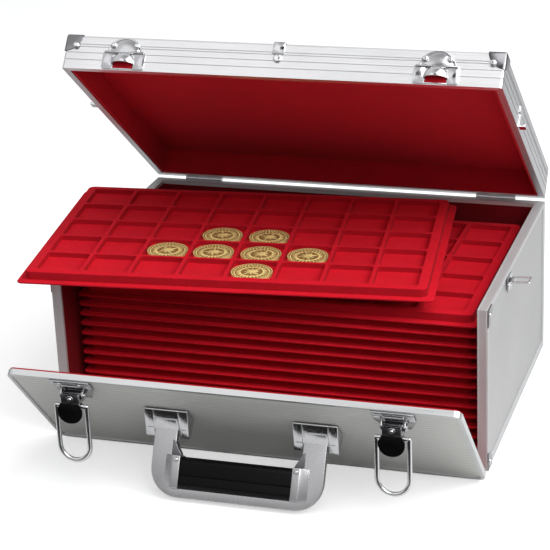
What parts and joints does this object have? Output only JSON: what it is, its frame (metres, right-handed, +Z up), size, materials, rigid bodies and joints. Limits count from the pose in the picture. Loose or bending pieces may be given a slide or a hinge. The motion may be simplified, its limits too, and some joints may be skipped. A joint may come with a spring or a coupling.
{
  "type": "coin carrying case",
  "caption": "Aluminium-edged coin case with a hinged lid, drop-down front flap, carrying handle, toggle latches and stacked red pocket trays, one of them loose with coins.",
  "frame": {"origin": "middle of the base of the bounding box in the pictured pose", "axes": "+Z up, +X to the right along the case's width, -Y towards the front with the flap"},
  "size_m": [0.3912, 0.3368, 0.2988],
  "materials": {
    "aluminium_profile": "natural anodised extrusion",
    "lid_profile": "natural anodised extrusion with grooves",
    "panel_grey": "fine ribbed grey laminate",
    "red_flock": "dark red flocked lining",
    "tray_red": "bright red flocked moulding",
    "chrome": "polished nickel-chrome plate",
    "steel_rivet": "bright rivet heads",
    "black_plastic": "satin black moulding",
    "foot_rubber": "matt",
    "coin_gold": "struck, bright with dark recesses"
  },
  "bodies": {
    "case": {"case_frame": "aluminium_profile", "panel_left": "panel_grey", "panel_right": "panel_grey", "panel_back": "panel_grey", "panel_bottom": "panel_grey", "case_lining": "red_flock", "corner_caps": "chrome", "case_rivets": "steel_rivet", "feet": "foot_rubber", "back_hinge_lower": "chrome", "flap_hinge_lower": "chrome", "clasp_base_left": "chrome", "clasp_base_right": "chrome"},
    "lid": {"lid_frame_front": "lid_profile", "lid_frame_back": "lid_profile", "lid_frame_left": "lid_profile", "lid_frame_right": "lid_profile", "lid_panel": "panel_grey", "lid_lining": "red_flock", "lid_corner_caps": "chrome", "catch_left": "chrome", "catch_right": "chrome", "lid_clip": "chrome", "lid_rivets": "steel_rivet", "back_hinge_upper": "chrome", "clasp_hook_left": "chrome", "clasp_hook_right": "chrome"},
    "flap": {"flap_edge": "aluminium_profile", "flap_panel": "panel_grey", "flap_lining": "red_flock", "flap_hinge_upper": "chrome", "latch_base_left": "chrome", "latch_base_right": "chrome", "handle_bracket_left": "chrome", "handle_bracket_right": "chrome"},
    "handle": {"handle_frame": "chrome", "handle_grip": "black_plastic"},
    "lever_left": {"lever_left": "chrome", "tab_left": "black_plastic"},
    "bail_left": {"bail_left": "chrome"},
    "lever_right": {"lever_right": "chrome", "tab_right": "black_plastic"},
    "bail_right": {"bail_right": "chrome"},
    "clasp_link_left": {"clasp_link_left": "chrome"},
    "clasp_link_right": {"clasp_link_right": "chrome"},
    "tray_01": {"tray_01": "tray_red"},
    "tray_02": {"tray_02": "tray_red"},
    "tray_03": {"tray_03": "tray_red"},
    "tray_04": {"tray_04": "tray_red"},
    "tray_05": {"tray_05": "tray_red"},
    "tray_06": {"tray_06": "tray_red"},
    "tray_07": {"tray_07": "tray_red"},
    "tray_08": {"tray_08": "tray_red"},
    "tray_09": {"tray_09": "tray_red"},
    "tray_10": {"tray_10": "tray_red"},
    "tray_11": {"tray_11": "tray_red"},
    "tray_12": {"tray_12": "tray_red"},
    "tray_13": {"tray_13": "tray_red"},
    "tray_loose": {"tray_loose": "tray_red", "coins": "coin_gold"}
  },
  "joints": [
    {"name": "lid_hinge", "type": "hinge", "parent": "case", "child": "lid", "pos_m": [0.01413, 0.1545, 0.1312], "axis": [-1, 0, 0], "range_deg": [-38.7, 0]},
    {"name": "flap_hinge", "type": "hinge", "parent": "case", "child": "flap", "pos_m": [0.01413, -0.07825, 0.0034], "axis": [1, 0, 0], "range_deg": [-42.8, 0]},
    {"name": "handle_swing", "type": "hinge", "parent": "flap", "child": "handle", "pos_m": [0.01413, -0.13758, 0.04605], "axis": [-1, 0, 0], "range_deg": [-70.5, 18]},
    {"name": "lever_left_hinge", "type": "hinge", "parent": "flap", "child": "lever_left", "pos_m": [-0.10318, -0.15971, 0.07584], "axis": [-1, 0, 0], "range_deg": [-42.8, 50]},
    {"name": "bail_left_hinge", "type": "hinge", "parent": "lever_left", "child": "bail_left", "pos_m": [-0.10318, -0.16321, 0.06884], "axis": [1, 0, 0], "range_deg": [-163, 25]},
    {"name": "lever_right_hinge", "type": "hinge", "parent": "flap", "child": "lever_right", "pos_m": [0.13142, -0.15971, 0.07584], "axis": [-1, 0, 0], "range_deg": [-42.8, 50]},
    {"name": "bail_right_hinge", "type": "hinge", "parent": "lever_right", "child": "bail_right", "pos_m": [0.13142, -0.16321, 0.06884], "axis": [1, 0, 0], "range_deg": [-163, 25]},
    {"name": "clasp_left_hinge", "type": "hinge", "parent": "case", "child": "clasp_link_left", "pos_m": [-0.15357, -0.0001, 0.1234], "axis": [0, -1, 0], "range_deg": [-26, 80]},
    {"name": "clasp_right_hinge", "type": "hinge", "parent": "case", "child": "clasp_link_right", "pos_m": [0.18182, -0.0001, 0.1234], "axis": [0, 1, 0], "range_deg": [-86, 80]},
    {"name": "tray_01_slide", "type": "slide", "parent": "case", "child": "tray_01", "axis": [0, -1, 0], "range_m": [0, 0.0275]},
    {"name": "tray_02_slide", "type": "slide", "parent": "case", "child": "tray_02", "axis": [0, -1, 0], "range_m": [0, 0.035]},
    {"name": "tray_03_slide", "type": "slide", "parent": "case", "child": "tray_03", "axis": [0, -1, 0], "range_m": [0, 0.0425]},
    {"name": "tray_04_slide", "type": "slide", "parent": "case", "child": "tray_04", "axis": [0, -1, 0], "range_m": [0, 0.05]},
    {"name": "tray_05_slide", "type": "slide", "parent": "case", "child": "tray_05", "axis": [0, -1, 0], "range_m": [0, 0.057]},
    {"name": "tray_06_slide", "type": "slide", "parent": "case", "child": "tray_06", "axis": [0, -1, 0], "range_m": [0, 0.0645]},
    {"name": "tray_07_slide", "type": "slide", "parent": "case", "child": "tray_07", "axis": [0, -1, 0], "range_m": [0, 0.072]},
    {"name": "tray_08_slide", "type": "slide", "parent": "case", "child": "tray_08", "axis": [0, -1, 0], "range_m": [0, 0.0795]},
    {"name": "tray_09_slide", "type": "slide", "parent": "case", "child": "tray_09", "axis": [0, -1, 0], "range_m": [0, 0.0865]},
    {"name": "tray_10_slide", "type": "slide", "parent": "case", "child": "tray_10", "axis": [0, -1, 0], "range_m": [0, 0.094]},
    {"name": "tray_11_slide", "type": "slide", "parent": "case", "child": "tray_11", "axis": [0, -1, 0], "range_m": [0, 0.1015]},
    {"name": "tray_12_slide", "type": "slide", "parent": "case", "child": "tray_12", "axis": [0, -1, 0], "range_m": [0, 0.2]},
    {"name": "tray_13_slide", "type": "slide", "parent": "case", "child": "tray_13", "axis": [0, -1, 0], "range_m": [0, 0.2]},
    {"name": "tray_loose_slide", "type": "slide", "parent": "case", "child": "tray_loose", "axis": [0, -1, 0], "range_m": [0, 0.27]}
  ],
  "couplings": [
    {"joint": "tray_loose_slide", "follows": "lid_hinge", "m_per_rad": -0.39974}
  ]
}
